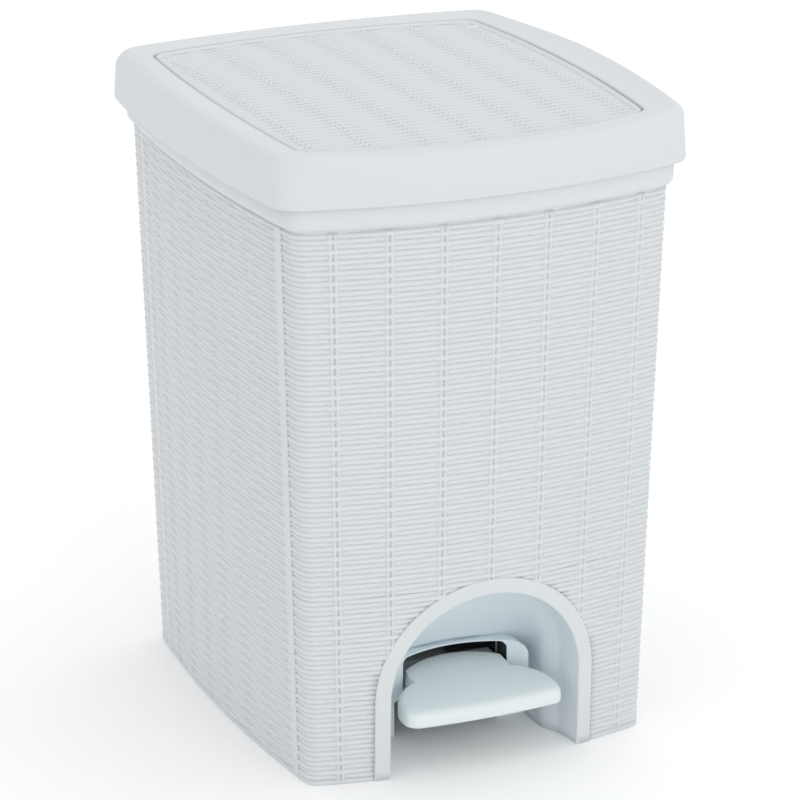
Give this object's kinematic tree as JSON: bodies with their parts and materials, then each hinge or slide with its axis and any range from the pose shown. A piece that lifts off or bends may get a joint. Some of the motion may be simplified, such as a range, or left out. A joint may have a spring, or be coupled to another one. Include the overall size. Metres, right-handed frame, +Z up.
{
  "type": "pedal waste bin",
  "caption": "Small rectangular pedal bin in woven-look plastic: pedal lever, push rod, hinged inset flap in a lift-off top frame, inner bucket with bail handle.",
  "frame": {"origin": "middle of the footprint, on the floor", "axes": "+Z up, -Y towards the front with the pedal, +X to the right seen from the front"},
  "size_m": [0.2008, 0.2248, 0.2849],
  "materials": {
    "white_plastic": "satin moulded",
    "pedal_plastic": "satin moulded",
    "bucket_plastic": "satin moulded",
    "grip_plastic": "satin moulded",
    "nylon": "natural moulded nylon",
    "zinc_steel": "bright zinc plate"
  },
  "bodies": {
    "body": {"outer_body": "white_plastic", "inner_bucket": "bucket_plastic", "pedal_axle": "zinc_steel", "axle_clip_left": "zinc_steel", "axle_clip_right": "zinc_steel", "rod_guide_lower": "nylon", "rod_guide_upper": "nylon", "guide_screw_lower": "zinc_steel", "guide_screw_upper": "zinc_steel"},
    "frame": {"top_frame": "white_plastic"},
    "flap": {"lid_flap": "white_plastic", "hinge_pin_left": "zinc_steel", "hinge_pin_right": "zinc_steel"},
    "handle": {"bucket_handle": "zinc_steel", "handle_grip": "grip_plastic"},
    "pedal": {"pedal_lever": "pedal_plastic"},
    "rod": {"push_rod": "zinc_steel", "rod_foot": "nylon", "rod_head": "nylon"}
  },
  "joints": [
    {"name": "pedal_pivot", "type": "hinge", "parent": "body", "child": "pedal", "pos_m": [0, 0, 0.03], "axis": [1, 0, 0], "range_deg": [0, 12]},
    {"name": "rod_slide", "type": "slide", "parent": "body", "child": "rod", "axis": [0, 0, 1], "range_m": [0, 0.0201]},
    {"name": "frame_lift", "type": "slide", "parent": "body", "child": "frame", "axis": [0, 0, 1], "range_m": [0, 0.06]},
    {"name": "lid_hinge", "type": "hinge", "parent": "frame", "child": "flap", "pos_m": [0, 0.0785, 0.2776], "axis": [-1, 0, 0], "range_deg": [0, 70.5]},
    {"name": "handle_swing", "type": "hinge", "parent": "body", "child": "handle", "pos_m": [0, 0, 0.229], "axis": [-1, 0, 0], "range_deg": [0, 20]}
  ],
  "couplings": [
    {"joint": "rod_slide", "follows": "pedal_pivot", "m_per_rad": 0.095016},
    {"joint": "lid_hinge", "follows": "pedal_pivot", "ratio": 5.8333}
  ]
}
